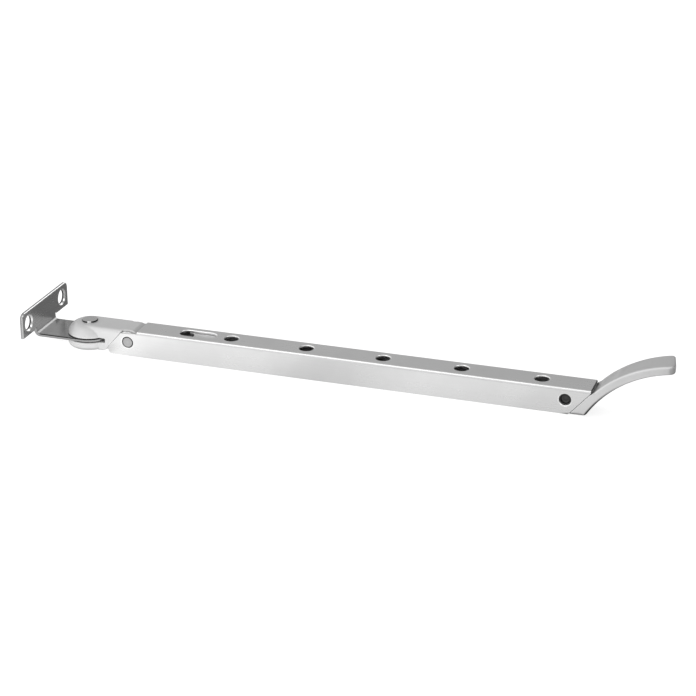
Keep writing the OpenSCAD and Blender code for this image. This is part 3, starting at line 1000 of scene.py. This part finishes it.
def flat_sheet(name, low, high, height, material):
    """Level sheet for the stage, from one corner to the other, in metres."""
    mesh = bpy.data.meshes.new(name)
    corners = [(low[0], low[1], height), (high[0], low[1], height), (high[0], high[1], height),
               (low[0], high[1], height)]
    mesh.from_pydata(corners, [], [(0, 1, 2, 3)])
    mesh.materials.append(material)
    sheet = new_piece(name, mesh)
    return sheet


def make_floor():
    """White floor that glows enough to show no shadow."""
    made = bpy.data.materials.new("pale_floor")
    made.use_nodes = True
    tree = made.node_tree
    shader = tree.nodes["Principled BSDF"]
    place = tree.nodes.new("ShaderNodeTexCoord").outputs["Object"]
    cloud = noise(tree, place, scale=3.0, detail=2.0)
    put(tree, shader.inputs["Base Color"], tint(tree, cloud, *FLOOR_TONES))
    shader.inputs["Roughness"].default_value = FLOOR_ROUGHNESS
    shader.inputs["Specular IOR Level"].default_value = FLOOR_SHINE
    shader.inputs["Emission Color"].default_value = grey(1.0)
    shader.inputs["Emission Strength"].default_value = FLOOR_GLOW
    flat_sheet("floor", (-FLOOR_REACH, -FLOOR_REACH), (FLOOR_REACH, FLOOR_REACH),
               CAD_LOW.z - FLOOR_DROP * MM, made)


def tone_ramp(tree, value, rows, unit):
    """Tone that follows a value through rows of (place, tone)."""
    first, last = rows[0][0], rows[-1][0]
    ramp = add(tree, "ShaderNodeValToRGB", {0: spread(tree, value, first * unit, last * unit)})
    ramp.color_ramp.interpolation = "EASE"
    points = ramp.color_ramp.elements
    while len(points) < len(rows):
        points.new(0.5)
    for point, (place, tone) in zip(points, rows):
        point.position = (place - first) / (last - first)
        point.color = grey(tone)
    return ramp.outputs[0]


def make_mirror_card():
    """Glowing card on the floor that only the metal mirrors, a painted reflection: pale in front, dark
    under the bar as painted shadow, grey behind.
    """
    made = bpy.data.materials.new("mirror_card")
    made.use_nodes = True
    tree = made.node_tree
    tree.nodes.remove(tree.nodes["Principled BSDF"])
    place = tree.nodes.new("ShaderNodeTexCoord").outputs["Object"]
    spot = add(tree, "ShaderNodeSeparateXYZ", {0: place}).outputs
    along = spot["X"]
    across = spot["Y"]

    def grade(value, start, end, before, after):
        """Soft step of a value between two places."""
        return spread(tree, value, start * MM, end * MM, before, after, "SMOOTHSTEP")

    # Painted shadow of the floor by the head, toward the bar, and under the bar and the heel
    by_head = grade(across, CARD_HEAD_START, CARD_HEAD_END, 1.0, grade(along, *CARD_BY_HEAD))
    front = tone_ramp(tree, along, CARD_FRONT, MM)
    for dimming in (grade(across, *CARD_TOWARD_BAR), grade(across, *CARD_FAR_OUT), by_head):
        front = product_of(tree, front, dimming)
    shifted = sum_of(tree, across, grade(along, *CARD_TAIL_SHIFT))
    near = blend(tree, grade(shifted, *CARD_FRONT_TO_UNDER), front, grade(along, *CARD_UNDER))
    tone = blend(tree, grade(across, *CARD_UNDER_TO_BEHIND), near, grade(along, *CARD_BEHIND))
    glow = add(tree, "ShaderNodeEmission", {"Strength": tone})
    put(tree, tree.nodes["Material Output"].inputs["Surface"], glow.outputs[0])
    card = flat_sheet("mirror_card", *CARD_CORNERS, CAD_LOW.z - CARD_DROP * MM, made)
    card.visible_camera = False
    card.visible_shadow = False
    card.visible_diffuse = False


def make_studio_world():
    """Soft room: pale in front and on the left, grey behind and on the right; the camera sees it white."""
    world = bpy.data.worlds.new("studio")
    bpy.context.scene.world = world
    world.use_nodes = True
    tree = world.node_tree
    way = add(tree, "ShaderNodeSeparateXYZ",
              {0: tree.nodes.new("ShaderNodeTexCoord").outputs["Generated"]}).outputs
    horizon = spread(tree, way[2], 0.0, ROOM_HORIZON_TOP, low=ROOM_HORIZON)
    behind = product_of(tree, tone_ramp(tree, way[0], ROOM_BEHIND, 1.0), horizon)
    front_share = spread(tree, way[1], ROOM_TURN, -ROOM_TURN, kind="SMOOTHSTEP")
    tone = blend(tree, front_share, behind, tone_ramp(tree, way[0], ROOM_FRONT, 1.0))
    seen = tree.nodes.new("ShaderNodeLightPath").outputs["Is Camera Ray"]
    put(tree, tree.nodes["Background"].inputs["Strength"], blend(tree, seen, tone, 1.0))
    tree.nodes["Background"].inputs["Color"].default_value = grey(1.0)


def softbox(name, aim, way, distance, size, glow):
    """Rectangular lamp at a distance along a direction from the point it aims at; glow is its radiance."""
    lamp = bpy.data.lights.new(name, "AREA")
    lamp.shape = "RECTANGLE"
    lamp.size, lamp.size_y = size
    lamp.energy = glow * math.pi * size[0] * size[1]
    made = bpy.data.objects.new(name, lamp)
    bpy.context.scene.collection.objects.link(made)
    toward = Vector(way).normalized()
    made.location = Vector(aim) * MM + toward * distance
    made.rotation_euler = (-toward).to_track_quat("-Z", "Y").to_euler()
    return made


def make_camera():
    """Camera at the photograph's viewing angle."""
    azimuth = math.radians(CAMERA_AZIMUTH)
    elevation = math.radians(CAMERA_ELEVATION)
    back = Vector((math.sin(azimuth) * math.cos(elevation), -math.cos(azimuth) * math.cos(elevation),
                   math.sin(elevation)))
    lens = bpy.data.cameras.new("camera")
    lens.sensor_width = SENSOR
    lens.lens = SENSOR * FOCAL_PIXELS / PHOTO_PIXELS
    lens.clip_start, lens.clip_end = CLIP
    camera = bpy.data.objects.new("camera", lens)
    bpy.context.scene.collection.objects.link(camera)
    camera.location = Vector(CAMERA_TARGET) * MM + back * CAMERA_DISTANCE * MM
    camera.rotation_euler = (-back).to_track_quat("-Z", "Y").to_euler()
    bpy.context.scene.camera = camera


make_floor()
make_mirror_card()
make_studio_world()

# Lamps: name, aim in millimetres, direction toward the lamp, distance and size in metres, radiance
overhead = softbox("overhead", (150, 0, 0), (-0.29, -0.40, 0.87), 1.2, (0.8, 0.5), 1.05)
softbox("spark", (25, 0, 0), (-0.45, -0.55, 0.70), 1.2, (0.08, 0.08), 12.0)
kicker = softbox("rear_kicker", (0, 0, 0), (0.36, 0.83, 0.43), 1.1, (0.7, 0.7), 1.6)
right_lamp = softbox("right_lamp", (0, 0, 0), (0.82, -0.06, 0.53), 1.2, (0.4, 0.4), 3.0)
for lamp, name, pieces in ((kicker, "lit by the rear kicker", (folded,)),
                           (right_lamp, "lit by the right lamp", (folded, bar)),
                           (overhead, "lit by the overhead lamp", (bar, rivet, lift, tail_cross, insert))):
    lit = bpy.data.collections.new(name)
    for piece in pieces:
        lit.objects.link(piece)
    lamp.light_linking.receiver_collection = lit

make_camera()
bpy.context.scene.view_settings.view_transform = "Standard"
